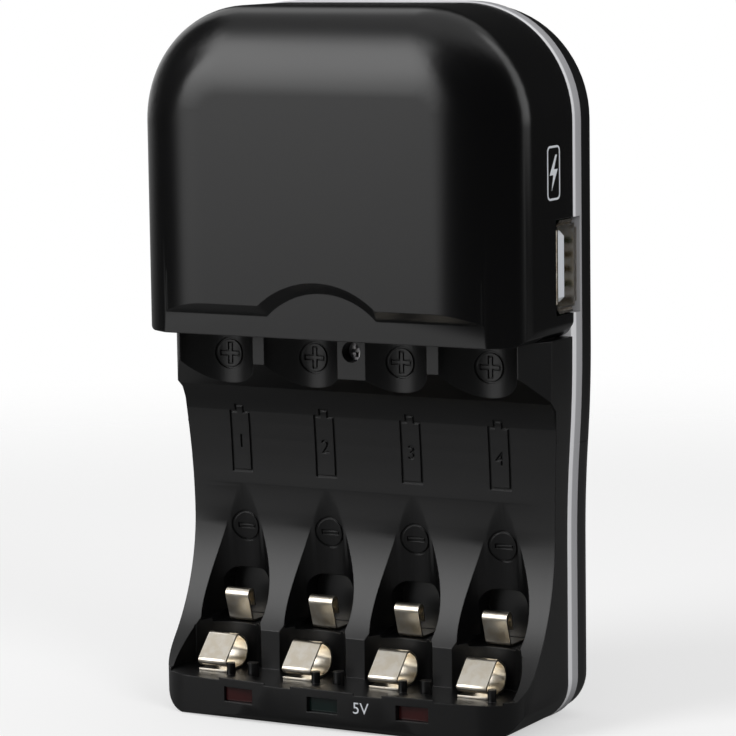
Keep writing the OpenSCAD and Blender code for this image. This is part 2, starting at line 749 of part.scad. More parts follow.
module aa_spring(i) {
    color([0.78, 0.74, 0.66]) translate([bay_x(i), 0, 0]) leaf(
        [
            [aa_back_c, aa_back_r, -90, 60],
            [aa_apex_c, aa_apex_r, 60, 135],
            [aa_curl_c, aa_curl_r, 135, 240]
        ],
        aa_leaf_w, [lip_back_y + 0.6, aa_base_z], 0.3
    );
}

// The AAA contact: base on the pocket floor, leg leaning to the front, apex, short back leg
aaa_base_z = pocket_z + seat + leaf_t / 2;
aaa_apex_z = hood_z - aaa_l + 0.6;
aaa_foot_r = 0.8;
aaa_apex_r = 0.9;
aaa_lean = 30;
aaa_foot_c = [pocket_y - 5.1, aaa_base_z + aaa_foot_r];
aaa_rise = (aaa_apex_z - aaa_apex_r - aaa_foot_c[1] - (aaa_apex_r - aaa_foot_r) * sin(aaa_lean))
    / cos(aaa_lean);
aaa_apex_c = aaa_foot_c + (aaa_apex_r - aaa_foot_r) * [cos(aaa_lean), sin(aaa_lean)]
    + aaa_rise * [-sin(aaa_lean), cos(aaa_lean)];

module aaa_spring(i) {
    color([0.78, 0.74, 0.66]) translate([bay_x(i), 0, 0]) leaf(
        [
            [aaa_foot_c, aaa_foot_r, 270, 180 + aaa_lean],
            [aaa_apex_c, aaa_apex_r, 180 + aaa_lean, 10]
        ],
        aaa_leaf_w, [pocket_y - 0.3, aaa_base_z], 2.2
    );
}

// The plate that meets a cell's cap, with a tab up through the ceiling
cap_tab_y = scoop_y - 2.2;
module positive_contact(i) {
    color([0.78, 0.74, 0.66]) translate([bay_x(i) - cap_plate_w / 2, 0, ceiling_z - seat - leaf_t]) {
        translate([0, ceiling_y0 + 1, 0]) cube([cap_plate_w, cap_tab_y + leaf_t - ceiling_y0 - 1, leaf_t]);
        translate([0, cap_tab_y, 0]) cube([cap_plate_w, leaf_t, ceiling_t + 5]);
    }
}

// Output socket: folded shell with flared lips, insulator and contact strips
usb_sheet = 0.35;
usb_flare = 0.8;
usb_corner = 0.7;

module usb_shell() {
    color([0.8, 0.79, 0.76]) translate([usb_x, usb_y, usb_z]) {
        difference() {
            translate([-usb_depth, -usb_t / 2, -usb_l / 2]) cube([usb_depth, usb_t, usb_l]);
            translate([-usb_depth + usb_sheet, -usb_t / 2 + usb_sheet, -usb_l / 2 + usb_sheet])
                cube([usb_depth, usb_t - 2 * usb_sheet, usb_l - 2 * usb_sheet]);
            // Windows of the holding springs in the two broad walls
            for (s = [-1, 1]) translate([-usb_depth / 2, -usb_t, s * usb_l / 4 - 1.2])
                cube([4, 2 * usb_t, 2.4]);
        }
        // Lips turned outwards along the mouth
        for (s = [-1, 1]) {
            translate([0, usb_t / 2 - usb_corner, s * (usb_l / 2 - usb_sheet)]) rotate([90, 0, 0])
                linear_extrude(usb_t - 2 * usb_corner) polygon([
                    [-usb_flare, 0], [0, s * usb_flare], [0, s * (usb_flare + usb_sheet)],
                    [-usb_flare, s * usb_sheet]
                ]);
            translate([0, s * (usb_t / 2 - usb_sheet), usb_corner - usb_l / 2])
                linear_extrude(usb_l - 2 * usb_corner) polygon([
                    [-usb_flare, 0], [0, s * usb_flare], [0, s * (usb_flare + usb_sheet)],
                    [-usb_flare, s * usb_sheet]
                ]);
        }
    }
}

usb_tongue_t = 1.9;
usb_tongue_w = 11.2;
usb_tongue_y = -usb_t / 2 + 1.8;

module usb_tongue() {
    color([0.93, 0.94, 0.95]) translate([usb_x, usb_y, usb_z]) {
        translate([-usb_depth + usb_sheet + seat, usb_tongue_y - usb_tongue_t / 2, 0]) rotate([-90, 0, 0])
            linear_extrude(usb_tongue_t) polygon([
                [0, -usb_tongue_w / 2], [usb_depth - 1.8, -usb_tongue_w / 2],
                [usb_depth - 1, -usb_tongue_w / 2 + 0.8], [usb_depth - 1, usb_tongue_w / 2 - 0.8],
                [usb_depth - 1.8, usb_tongue_w / 2], [0, usb_tongue_w / 2]
            ]);
        // Block at the back of the shell that carries the tongue
        block = usb_sheet + seat;
        translate([-usb_depth + block, -usb_t / 2 + block, -usb_l / 2 + block])
            cube([4, usb_t - 2 * block, usb_l - 2 * block]);
    }
}

module usb_pins() {
    color([0.85, 0.7, 0.35]) for (k = [-1.5 : 1.5])
        translate([usb_x - usb_depth + 4.6, usb_y + usb_tongue_y + usb_tongue_t / 2, usb_z + k * 2.3 - 0.5])
            cube([usb_depth - 6.2, 0.25, 1]);
}

// A light guide from its window in the lip back to its led
module light_guide(k) {
    y0 = lip_at(k * window_pitch) + window_in;
    translate([k * window_pitch - window_w / 2, y0, window_z])
        cube([window_w, led_y - run - y0, window_h]);
}

module charge_window_left() {
    color([0.3, 0.05, 0.06]) light_guide(-1);
}

module power_window() {
    color([0.04, 0.13, 0.12]) light_guide(0);
}

module charge_window_right() {
    color([0.3, 0.05, 0.06]) light_guide(1);
}

module indicator_leds() {
    led_r = 1.2;
    color([0.85, 0.85, 0.8]) for (k = [-1 : 1])
        translate([k * window_pitch, 0, window_z + window_h / 2]) rotate([-90, 0, 0]) {
            translate([0, 0, led_y + led_r]) sphere(led_r);
            translate([0, 0, led_y + led_r]) cylinder(r = led_r, h = board_y - led_y - led_r - seat);
            translate([0, 0, board_y - seat - 0.8]) cylinder(r = led_r + 0.3, h = 0.8);
        }
}

module main_board() {
    inset = band_t + 2 * run;
    color([0.1, 0.3, 0.16]) difference() {
        along_y(board_y, board_y + board_t)
            case_outline(inset, top_corner_r - band_t, bottom_corner_r - band_t, inset);
        // Cut-out round the plug well
        translate([-well_half - 0.5, 0, well_z0 - wall - 0.5])
            cube([2 * well_half + 1, back_y, well_z1 - well_z0 + 2 * wall + 1]);
        for (p = [case_screw_top, case_screw_low], s = [-1, 1]) translate([s * p[0], 0, p[1]])
            rotate([-90, 0, 0]) cylinder(r = screw_r + 0.4, h = back_y);
    }
}

// Transformer above the plug well: ferrite core with two windows, winding round its middle leg
core_z = well_z1 + wall + 5;
core_h = (hood_top - wall - core_z) * 0.74;
core_w = 16;
core_t = 6;
core_y = board_y - 9;
core_foot = 1.4;
core_gap = 0.2;
wrap_t = 2.4;

module transformer() {
    color([0.2, 0.2, 0.21]) {
        translate([0, core_y, core_z]) difference() {
            translate([-core_w / 2, 0, 0]) cube([core_w, core_t, core_h]);
            for (s = [-1, 1])
                translate([s * (core_w / 4 + core_gap) - core_w / 8, -cut, core_h / 6])
                    cube([core_w / 4, core_t + 2 * cut, core_h * 2 / 3]);
        }
        // Feet down to the board
        for (s = [-1, 1])
            translate([s * (core_w - core_foot) / 2 - core_foot / 2, core_y + core_t, core_z + core_h / 8])
                cube([core_foot, board_y - core_y - core_t - seat, core_h * 3 / 4]);
    }
}

module transformer_winding() {
    leg = core_w / 8 + core_gap + seat;
    outer = 3 * core_w / 8 + core_gap - seat;
    color([0.75, 0.45, 0.12]) translate([0, core_y, core_z + core_h / 6 + seat]) difference() {
        translate([-outer, -wrap_t, 0])
            cube([2 * outer, core_t + 2 * wrap_t, core_h * 2 / 3 - 2 * seat]);
        translate([-leg, -seat, -cut]) cube([2 * leg, core_t + 2 * seat, core_h]);
    }
}

// Parts on the board
filter_r = 4;
filter_l = 15;
output_r = 3.15;
output_l = 11;
chip = [6, 1.6, 5];
chip_leg = [0.5, 0.4, 0.8];
chip_pitch = 1.3;
fuse_r = 1.6;
fuse_l = 9;

module filter_capacitor() {
    color([0.1, 0.12, 0.3])
        translate([-well_half - filter_l, board_y - seat - filter_r, well_z1 + filter_r])
            rotate([0, 90, 0]) cylinder(r = filter_r, h = filter_l);
}

module output_capacitor() {
    color([0.15, 0.15, 0.17]) translate([-flat_half, board_y - seat - output_l, usb_z])
        rotate([-90, 0, 0]) cylinder(r = output_r, h = output_l);
}

module control_chip() {
    color([0.12, 0.12, 0.13]) translate([-flat_half, board_y - seat - chip[1], hood_z - 8]) {
        cube(chip);
        for (z = [-chip_leg[2], chip[2]], k = [0 : 3])
            translate([chip_leg[0] + k * chip_pitch, chip[1] - chip_leg[1], z]) cube(chip_leg);
    }
}

module fuse_resistor() {
    color([0.5, 0.6, 0.5]) translate([flat_half - fuse_r, board_y - seat - fuse_r, well_z1 - fuse_l / 2])
        cylinder(r = fuse_r, h = fuse_l);
}

// Folding plug, shown folded: the blades hang down in their slots
module plug_carrier() {
    color([0.1, 0.1, 0.11]) translate([0, plug_y, plug_z]) difference() {
        rotate([0, 90, 0]) cylinder(r = barrel_r, h = barrel_l, center = true);
        rotate([0, 90, 0]) cylinder(r = pin_r + 0.05, h = barrel_l + 2 * cut, center = true);
        for (s = [-1, 1])
            translate([s * blade_pitch / 2 - blade_t / 2 - seat, -blade_w / 2 - seat, -barrel_r - cut])
                cube([blade_t + 2 * seat, blade_w + 2 * seat, barrel_r + cut - blade_root + seat]);
    }
}

module plug_blade(s) {
    color([0.82, 0.8, 0.74]) translate([s * blade_pitch / 2 - blade_t / 2, plug_y, plug_z]) difference() {
        along_x(0, blade_t) {
            translate([-blade_w / 2, -blade_tip + blade_w / 3])
                square([blade_w, blade_tip - blade_root - blade_w / 3]);
            translate([-blade_w / 6, -blade_tip]) square([blade_w / 3, blade_w / 3 + cut]);
            for (k = [-1, 1]) translate([k * blade_w / 6, -blade_tip + blade_w / 3]) circle(blade_w / 3);
        }
        translate([-cut, 0, -barrel_r - 11.9]) rotate([0, 90, 0]) cylinder(r = 1.6, h = blade_t + 2 * cut);
    }
}

module plug_blade_left() {
    plug_blade(-1);
}

module plug_blade_right() {
    plug_blade(1);
}

module plug_pivot_pin() {
    color([0.7, 0.7, 0.72]) translate([-well_half + 0.2, plug_y, plug_z]) rotate([0, 90, 0])
        cylinder(r = pin_r, h = 2 * well_half - 0.4);
}

// Sprung strips from the barrel's ends out to the board
wiper_x = barrel_l / 2 + run;
wiper_z = plug_z - barrel_r + 0.4;
wiper_h = 2.2;
wiper_reach = 4;

module plug_wipers() {
    color([0.8, 0.68, 0.4]) for (s = [0, 1]) mirror([s, 0, 0]) translate([wiper_x, 0, wiper_z]) {
        translate([0, wiper_y, 0]) cube([leaf_t, plug_y - board_y, wiper_h]);
        translate([0, wiper_y, 0]) cube([well_half + wiper_reach - wiper_x, leaf_t, wiper_h]);
    }
}

// Cross recess of the screws
cross_l = 2.8;
cross_w = 0.6;
cross_d = 0.7;

// A screw along the depth, with its head at the back and its point to the front
module screw(y_seat, y_point) {
    translate([0, y_point, 0]) rotate([-90, 0, 0]) cylinder(r = screw_r, h = y_seat - y_point);
    translate([0, y_seat, 0]) rotate([-90, 0, 0]) difference() {
        cylinder(r = screw_head_r, h = screw_head_h);
        for (a = [0, 90]) rotate(a) translate([-cross_l / 2, -cross_w / 2, screw_head_h - cross_d])
            cube([cross_l, cross_w, cut]);
    }
}

module case_screws() {
    color([0.35, 0.35, 0.36]) for (p = [case_screw_top, case_screw_low], s = [-1, 1])
        translate([s * p[0], 0, p[1]]) screw(screw_seat_y + seat, floor_y + wall + run);
}

module front_screw() {
    head_r = front_hole_r - run / 2;
    head_h = screw_head_h - run;
    color([0.3, 0.3, 0.31]) translate([0, front_seat_y - seat, front_screw_z]) rotate([-90, 0, 0]) {
        cylinder(r = screw_r, h = front_point_y - front_seat_y);
        difference() {
            translate([0, 0, -head_h]) cylinder(r = head_r, h = head_h);
            for (a = [0, 90]) rotate(a) translate([-head_r * 2 / 3, -cross_w / 2, -head_h - cut])
                cube([head_r * 4 / 3, cross_w, cut + cross_d]);
        }
    }
}

front_housing();
hood_cover();
trim_band();
rear_cover();
aa_spring(0);  // aa_spring_1
aa_spring(1);  // aa_spring_2
aa_spring(2);  // aa_spring_3
aa_spring(3);  // aa_spring_4
aaa_spring(0);  // aaa_spring_1
aaa_spring(1);  // aaa_spring_2
aaa_spring(2);  // aaa_spring_3
aaa_spring(3);  // aaa_spring_4
positive_contact(0);  // positive_contact_1
positive_contact(1);  // positive_contact_2
positive_contact(2);  // positive_contact_3
positive_contact(3);  // positive_contact_4
usb_shell();
usb_tongue();
usb_pins();
charge_window_left();
power_window();
charge_window_right();
indicator_leds();
main_board();
transformer();
transformer_winding();
filter_capacitor();
output_capacitor();
control_chip();
fuse_resistor();
plug_carrier();
plug_blade_left();
plug_blade_right();
plug_pivot_pin();
plug_wipers();
case_screws();
front_screw();
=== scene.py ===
# Wall-plug charger for four AA or AAA cells: finishes, moulded marks, contact strips and prints.
# Metres, with X to the right, Y to the back and Z up. It stands on its lower end.
import json
import math

import bmesh
import bpy
from mathutils import Matrix, Vector, geometry
from mathutils.bvhtree import BVHTree


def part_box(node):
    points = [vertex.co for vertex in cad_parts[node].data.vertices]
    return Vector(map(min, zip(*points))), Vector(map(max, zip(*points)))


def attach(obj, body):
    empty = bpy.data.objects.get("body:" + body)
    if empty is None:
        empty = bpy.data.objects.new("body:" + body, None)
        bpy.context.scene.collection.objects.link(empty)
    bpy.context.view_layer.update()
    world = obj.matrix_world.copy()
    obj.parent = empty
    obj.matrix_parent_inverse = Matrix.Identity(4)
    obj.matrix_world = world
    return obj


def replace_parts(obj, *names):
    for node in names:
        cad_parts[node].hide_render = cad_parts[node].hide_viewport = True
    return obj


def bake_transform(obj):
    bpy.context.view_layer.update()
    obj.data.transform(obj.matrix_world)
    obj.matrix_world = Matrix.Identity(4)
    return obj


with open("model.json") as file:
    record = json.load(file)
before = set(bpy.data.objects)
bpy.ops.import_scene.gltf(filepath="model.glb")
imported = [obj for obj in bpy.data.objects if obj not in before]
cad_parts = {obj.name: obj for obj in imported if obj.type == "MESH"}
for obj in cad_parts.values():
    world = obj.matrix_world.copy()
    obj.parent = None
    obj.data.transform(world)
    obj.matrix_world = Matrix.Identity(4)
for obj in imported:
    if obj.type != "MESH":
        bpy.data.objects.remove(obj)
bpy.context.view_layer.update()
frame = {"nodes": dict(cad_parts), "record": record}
nodes = frame["nodes"]
scene = bpy.context.scene
scene.view_settings.view_transform = "Standard"

# Sizes in millimetres, along the case unless they say otherwise
MM = 0.001
BAYS = 4
HAIR = 1e-5
NEAR = 0.01
VIEW_FROM = 60
MARK_DEPTH = 0.3
MARK_PROUD = 0.6
MARK_STEP = 0.35
MARK_LINE = 0.36
DISC_R = 2.45
PLUS_Z = 58.0
PLUS_ARM = 1.8
PLUS_BAR = 0.9
MINUS_Z = 28.7
MINUS_HALF = 1.6
MINUS_BAR = 0.75
OUTLINE_Z = (38.1, 48.0)
OUTLINE_HALF = 1.75
OUTLINE_CAP_HALF = 0.7
OUTLINE_CAP = 1.1
DIGIT_HEIGHT = 2.2
INK_PROUD = 0.03
INK_SUNK = 0.05
INK_LINE = 0.35
INK_STEP = 0.8
BOLT_FRAME = ((-3.4, 84.5), (1.2, 93.0))
BOLT_CORNER = 1.0
BOLT_HEIGHT = 5.6
VOLTAGE_PLACE = (7.0, 4.4)
VOLTAGE_HEIGHT = 1.8
CORNER = (17.8, 98.3)
CORNER_GROW = 2.0
CORNER_FADE = (6.0, 11.0)
CORNER_FOOT = 94.0
BAND_Y = ((5.9, 5.3), (6.7, 6.5), (9.9, 8.6))
# Depths where the painted highlight on the band's front bevel fades into the plain silver
BAND_HIGHLIGHT_Y = (6.3, 6.6)
REAR_GROW = 1.0147
SHELL_REACH = 0.03
BRIDGE_X = (33.0, 34.5)
BRIDGE_Y = (7.95, 8.6)
BRIDGE_Z = (66.25, 81.35)
TONGUE_TIP = 1.0
TONGUE_MIDDLE_Y = 2.4
TONGUE_OUT = 0.5
TONGUE_THICKER = 0.35
COVE_Z = 45.8
COVE_R = 12.0
COVE_TURN = 34
COVE_STEP = 2
COVE_FRONT = 0.443
COVE_BACK = 1.5
COVE_HALF = 33.75

# Contact strips: places are (y, z) in millimetres, turns and leans in degrees
LEAF_T = 0.35
LEAF_EDGE = 0.07
NOTCH_SHARE = 0.12
AA_WIDTH = 5.2
AA_NOTCH = 0.3
AA_BEND_Z = (6.85, 7.35)
AA_BASE_Y = -9.9
AA_LOOP = (-5.4, 9.025)
AA_LOOP_R = 2.4
AA_LOOP_END = 60
AA_CREST = (-5.994, 11.1)
AA_CREST_R = 0.9
AA_CREST_END = 135
AA_NOSE = (-9.388, 8.13)
AA_NOSE_R = 0.6
AA_NOSE_END = 240
AA_TIP = 0.3
AAA_WIDTH = 4.4
AAA_BEND_Z = (13.45, 14.1)
AAA_BASE_Y = 5.1
AAA_FOOT = (0.3, 14.025)
AAA_FOOT_R = 0.8
AAA_LEAN = 18
AAA_TOP_Z = 18.6
AAA_CREST_R = 0.9
AAA_CREST_END = 10
AAA_TAIL = 2.2

# Angles in degrees past which an edge stays sharp
SHELL_CREASE = 32
STRIP_CREASE = 50
STRIP_CORNER = 60

# Silver of the trim band, and the lighter silver painted along its front edge as a highlight where its
# bevel shines
SILVER = (0.42, 0.42, 0.435)
SILVER_PAINTED_HIGHLIGHT = (0.86, 0.86, 0.88)

# Photograph's camera: place in millimetres, angles in degrees, focal length in pixels
CAMERA_PLACE = (268.11, -493.41, 130.64)
CAMERA_YAW = 28.47
CAMERA_PITCH = 7.53
CAMERA_ROLL = 0.795
CAMERA_FOCUS = 3520.3
IMAGE_SIZE = 736
SENSOR = 36.0

# Panels in what shines: strength, then angles in degrees, with azimuth from the front to the right
LIGHT_PANELS = [
    (3.9, {"Centre": -36.5, "Half Width": 20.5, "Side Edge": 6.0,
           "Low": 1.5, "High": 43.0, "Low Edge": 21.5}),
    (1.8, {"Centre": 112.0, "Half Width": 17.0, "Side Edge": 4.0, "Low": -2.0, "High": 70.0}),
    (1.0, {"Centre": -120.0, "Half Width": 20.0, "Side Edge": 5.0, "Low": -4.0, "High": 60.0}),
    (0.8, {"Centre": 0.0, "Half Width": 200.0, "Side Edge": 5.0,
           "Low": 51.0, "High": 100.0, "Low Edge": 8.0}),
]
SHINE_BASE = 0.03
SOFT_LIGHT = 0.5

# Lamps: place and size in metres, power in watts
LAMPS = {
    "key_lamp": ((-0.55, -0.75, 0.85), 0.6, 6.0),
    "fill_lamp": ((0.85, -0.45, 0.5), 0.5, 3.0),
}
LAMP_TARGET = (0, 0, 0.06)

# Floor: radius and fade in metres, then its greys
FLOOR_R = 0.45
FLOOR_FADE = (0.2, 0.43)
FLOOR_MATT = (0.5, 0.5, 0.5, 1.0)
FLOOR_GLOW = 0.5
FLOOR_DIM = (0.22, 0.22, 0.22, 1.0)
WHITE = (1.0, 1.0, 1.0, 1.0)


# Shader tools


def put(tree, kind, inputs=(), **settings):
    """A node of that kind with its settings, its inputs set to values or linked to sockets."""
    node = tree.nodes.new(kind)
    for key, value in settings.items():
        setattr(node, key, value)
    for key, value in dict(inputs).items():
        if isinstance(value, bpy.types.NodeSocket):
            tree.links.new(value, node.inputs[key])
        else:
            node.inputs[key].default_value = value
    return node


def calc(tree, operation, *values):
    """The result of a math node on numbers or sockets."""
    return put(tree, "ShaderNodeMath", enumerate(values), operation=operation).outputs[0]


def ramp(tree, value, low, high, start=0.0, end=1.0):
    """A smooth change from start to end as value goes from low to high."""
    limits = {"Value": value, "From Min": low, "From Max": high, "To Min": start, "To Max": end}
    return put(tree, "ShaderNodeMapRange", limits, interpolation_type="SMOOTHSTEP").outputs["Result"]


def noise(tree, place, scale, detail):
    """A noise value at a place."""
    inputs = {"Vector": place, "Scale": scale, "Detail": detail}
    return put(tree, "ShaderNodeTexNoise", inputs).outputs[0]


def tint(tree, mask, first, second):
    """A colour between two, by a mask."""
    node = put(tree, "ShaderNodeMix", {0: mask, 6: (*first, 1.0), 7: (*second, 1.0)}, data_type="RGBA")
    return node.outputs[2]


def new_group(name, inputs, outputs):
    """A shader node group with named number inputs and outputs, and the sockets at its two ends."""
    tree = bpy.data.node_groups.new(name, "ShaderNodeTree")
    for socket, value in inputs.items():
        made = tree.interface.new_socket(socket, in_out="INPUT", socket_type="NodeSocketFloat")
        made.default_value = value
    for socket in outputs:
        tree.interface.new_socket(socket, in_out="OUTPUT", socket_type="NodeSocketFloat")
    return tree, put(tree, "NodeGroupInput").outputs, put(tree, "NodeGroupOutput").inputs


def moulded_skin_group():
    """Fine mould texture and slow changes of gloss on plastic."""
    sizes = {"Grain Scale": 6000.0, "Gloss Scale": 60.0, "Roughness": 0.4, "Spread": 0.04}
    tree, given, result = new_group("moulded_skin", sizes, ["Height", "Roughness"])
    place = put(tree, "ShaderNodeTexCoord").outputs["Object"]
    grain = noise(tree, place, given["Grain Scale"], 2.0)
    slow = noise(tree, place, given["Gloss Scale"], 4.0)
    swing = calc(tree, "MULTIPLY", calc(tree, "SUBTRACT", slow, 0.5), given["Spread"])
    tree.links.new(grain, result["Height"])
    tree.links.new(calc(tree, "ADD", given["Roughness"], swing), result["Roughness"])
    return tree


def rolled_metal_group():
    """Rolling streaks across a strip and mottled plating on it."""
    sizes = {"Streak Scale": 9000.0, "Mottle Scale": 1400.0, "Roughness": 0.25, "Spread": 0.15}
    tree, given, result = new_group("rolled_metal", sizes, ["Streaks", "Mottle", "Roughness"])
    place = put(tree, "ShaderNodeTexCoord").outputs["Object"]
    across = put(tree, "ShaderNodeMapping", {"Vector": place, "Scale": (1.0, 0.06, 0.06)}).outputs[0]
    streaks = noise(tree, across, given["Streak Scale"], 3.0)
    mottle = noise(tree, place, given["Mottle Scale"], 5.0)
    both = calc(tree, "ADD", streaks, mottle)
    swing = calc(tree, "MULTIPLY", calc(tree, "SUBTRACT", both, 1.0), given["Spread"])
    tree.links.new(streaks, result["Streaks"])
    tree.links.new(ramp(tree, mottle, 0.35, 0.65), result["Mottle"])
    tree.links.new(calc(tree, "ADD", given["Roughness"], swing), result["Roughness"])
    return tree


def soft_panel_group():
    """Where a direction meets a soft light panel, by its angles in degrees."""
    sizes = {
        "Azimuth": 0.0, "Elevation": 0.0, "Centre": 0.0, "Half Width": 20.0, "Side Edge": 3.0,
        "Low": 0.0, "High": 50.0, "Low Edge": 6.0, "High Edge": 6.0,
    }
    tree, given, result = new_group("soft_panel", sizes, ["Mask"])
    off = calc(tree, "ABSOLUTE", calc(tree, "SUBTRACT", given["Azimuth"], given["Centre"]))
    outer = calc(tree, "ADD", given["Half Width"], given["Side Edge"])
    inner = calc(tree, "SUBTRACT", given["Half Width"], given["Side Edge"])
    side = ramp(tree, off, inner, outer, 1.0, 0.0)
    edges = []
    for limit, start, end in (("Low", 0.0, 1.0), ("High", 1.0, 0.0)):
        first = calc(tree, "SUBTRACT", given[limit], given[f"{limit} Edge"])
        last = calc(tree, "ADD", given[limit], given[f"{limit} Edge"])
        edges.append(ramp(tree, given["Elevation"], first, last, start, end))
    upright = calc(tree, "MULTIPLY", *edges)
    tree.links.new(calc(tree, "MULTIPLY", side, upright), result["Mask"])
    return tree


moulded_skin = moulded_skin_group()
rolled_metal = rolled_metal_group()
soft_panel = soft_panel_group()


# Finishes


def finish(name, base, roughness, metallic=0.0):
    """A plain material, with its node tree and its shader."""
    material = bpy.data.materials.new(name)
    material.use_nodes = True
    shader = material.node_tree.nodes["Principled BSDF"]
    shader.inputs["Base Color"].default_value = (*base, 1.0)
    shader.inputs["Roughness"].default_value = roughness
    shader.inputs["Metallic"].default_value = metallic
    return material, material.node_tree, shader


def moulded_plastic(name, base, roughness, spread=0.05, grain_scale=6000.0, grain=0.004, edge=0.2):
    """Moulded plastic with a fine grain and slightly rounded edges; grain and edge in millimetres."""
    material, tree, shader = finish(name, base, roughness)
    skin = put(tree, "ShaderNodeGroup", node_tree=moulded_skin)
    skin.inputs["Grain Scale"].default_value = grain_scale
    skin.inputs["Roughness"].default_value = roughness
    skin.inputs["Spread"].default_value = spread
    rounded = put(tree, "ShaderNodeBevel", {"Radius": edge * MM}, samples=4)
    bump = {"Distance": grain * MM, "Height": skin.outputs["Height"], "Normal": rounded.outputs[0]}
    tree.links.new(put(tree, "ShaderNodeBump", bump).outputs[0], shader.inputs["Normal"])
    tree.links.new(skin.outputs["Roughness"], shader.inputs["Roughness"])
    return material


def sheet_metal(name, bright, dull, roughness, spread=0.15, mottle_scale=1400.0, relief=0.003):
    """Rolled or plated metal between a bright and a dull colour; relief in millimetres."""
    material, tree, shader = finish(name, bright, roughness, metallic=1.0)
    rolled = put(tree, "ShaderNodeGroup", node_tree=rolled_metal)
    rolled.inputs["Mottle Scale"].default_value = mottle_scale
    rolled.inputs["Roughness"].default_value = roughness
    rolled.inputs["Spread"].default_value = spread
    tree.links.new(tint(tree, rolled.outputs["Mottle"], dull, bright), shader.inputs["Base Color"])
    tree.links.new(rolled.outputs["Roughness"], shader.inputs["Roughness"])
    bump = {"Distance": relief * MM, "Height": rolled.outputs["Streaks"]}
    tree.links.new(put(tree, "ShaderNodeBump", bump).outputs[0], shader.inputs["Normal"])
    return material


finishes = {
    "black_plastic": moulded_plastic("black_plastic", (0.0022, 0.0022, 0.0024), 0.35, grain=0.006),
    "hood_plastic": moulded_plastic("hood_plastic", (0.0015, 0.0015, 0.0017), 0.24, grain=0.003),
    "silver_trim": moulded_plastic("silver_trim", SILVER, 0.36, spread=0.08, grain=0.002),
    "nickel_leaf": sheet_metal(
        "nickel_leaf", (0.84, 0.79, 0.70), (0.76, 0.69, 0.57), 0.3, spread=0.06, mottle_scale=700.0
    ),
    "socket_steel": sheet_metal(
        "socket_steel", (0.80, 0.77, 0.72), (0.66, 0.60, 0.52), 0.22, spread=0.1
    ),
    "white_plastic": moulded_plastic("white_plastic", (0.80, 0.83, 0.87), 0.35, grain=0.002),
    "gold_strip": sheet_metal(
        "gold_strip", (0.86, 0.70, 0.36), (0.74, 0.56, 0.26), 0.2, spread=0.08
    ),
    "red_window": moulded_plastic("red_window", (0.036, 0.006, 0.006), 0.2, grain=0.001),
    "green_window": moulded_plastic("green_window", (0.003, 0.010, 0.009), 0.2, grain=0.001),
    "led_resin": moulded_plastic("led_resin", (0.62, 0.62, 0.58), 0.3, grain=0.001),
    "board_green": moulded_plastic(
        "board_green", (0.012, 0.075, 0.035), 0.35, grain_scale=1500.0, grain=0.006
    ),
    "ferrite": moulded_plastic(
        "ferrite", (0.03, 0.03, 0.032), 0.6, grain_scale=3000.0, grain=0.012
    ),
    "winding_tape": moulded_plastic(
        "winding_tape", (0.60, 0.33, 0.03), 0.3, grain_scale=900.0, grain=0.01
    ),
    "capacitor_sleeve": moulded_plastic(
        "capacitor_sleeve", (0.010, 0.014, 0.06), 0.25, grain=0.002
    ),
    "chip_resin": moulded_plastic(
        "chip_resin", (0.016, 0.016, 0.017), 0.55, grain_scale=5000.0, grain=0.008
    ),
    "resistor_coat": moulded_plastic(
        "resistor_coat", (0.16, 0.30, 0.21), 0.5, grain_scale=2500.0, grain=0.01
    ),
    "plug_plastic": moulded_plastic("plug_plastic", (0.012, 0.012, 0.013), 0.38, grain=0.006),
    "blade_brass": sheet_metal(
        "blade_brass", (0.82, 0.78, 0.68), (0.77, 0.72, 0.61), 0.34, spread=0.03, mottle_scale=500.0
    ),
    "screw_steel": sheet_metal(
        "screw_steel", (0.42, 0.42, 0.44), (0.30, 0.29, 0.28), 0.35, mottle_scale=2600.0
    ),
}


def painted_bevel_highlight(material):
    """A painted highlight: lighter silver along the band's front bevel, standing in for its shine."""
    tree, shader = material.node_tree, material.node_tree.nodes["Principled BSDF"]
    place = put(tree, "ShaderNodeTexCoord").outputs["Object"]
    depth = put(tree, "ShaderNodeSeparateXYZ", {0: place}).outputs["Y"]
    behind = ramp(tree, depth, *(y * MM for y in BAND_HIGHLIGHT_Y))
    tree.links.new(tint(tree, behind, SILVER_PAINTED_HIGHLIGHT, SILVER), shader.inputs["Base Color"])


# Paints a highlight onto the band's front bevel
painted_bevel_highlight(finishes["silver_trim"])
for part in frame["record"]["subparts"]:
    for held in nodes[part["node"]].material_slots:
        held.material = finishes[part["material_slot"]]


# Mesh tools


def new_piece(name, verts, faces):
    """An object with a mesh of those points and faces, turned outwards."""
    mesh = bpy.data.meshes.new(name)
    work = bmesh.new()
    points = [work.verts.new(v) for v in verts]
    for face in faces:
        work.faces.new([points[i] for i in face])
    bmesh.ops.recalc_face_normals(work, faces=work.faces)
    work.to_mesh(mesh)
    work.free()
    piece = bpy.data.objects.new(name, mesh)
    scene.collection.objects.link(piece)
    return piece


def merged_copy(name, node, reach=0.002):
    """A copy of a CAD node with its loose triangles joined; reach in millimetres."""
    work = bmesh.new()
    work.from_mesh(nodes[node].data)
    bmesh.ops.remove_doubles(work, verts=work.verts, dist=reach * MM)
    work.verts.index_update()
    verts = [v.co.copy() for v in work.verts]
    faces = [[v.index for v in f.verts] for f in work.faces]
    work.free()
    return new_piece(name, verts, faces)


def settle(piece):
    """Makes the piece's modifiers part of its mesh."""
    mesh = bpy.data.meshes.new_from_object(piece.evaluated_get(bpy.context.evaluated_depsgraph_get()))
    piece.modifiers.clear()
    piece.data = mesh
    mesh.name = piece.name


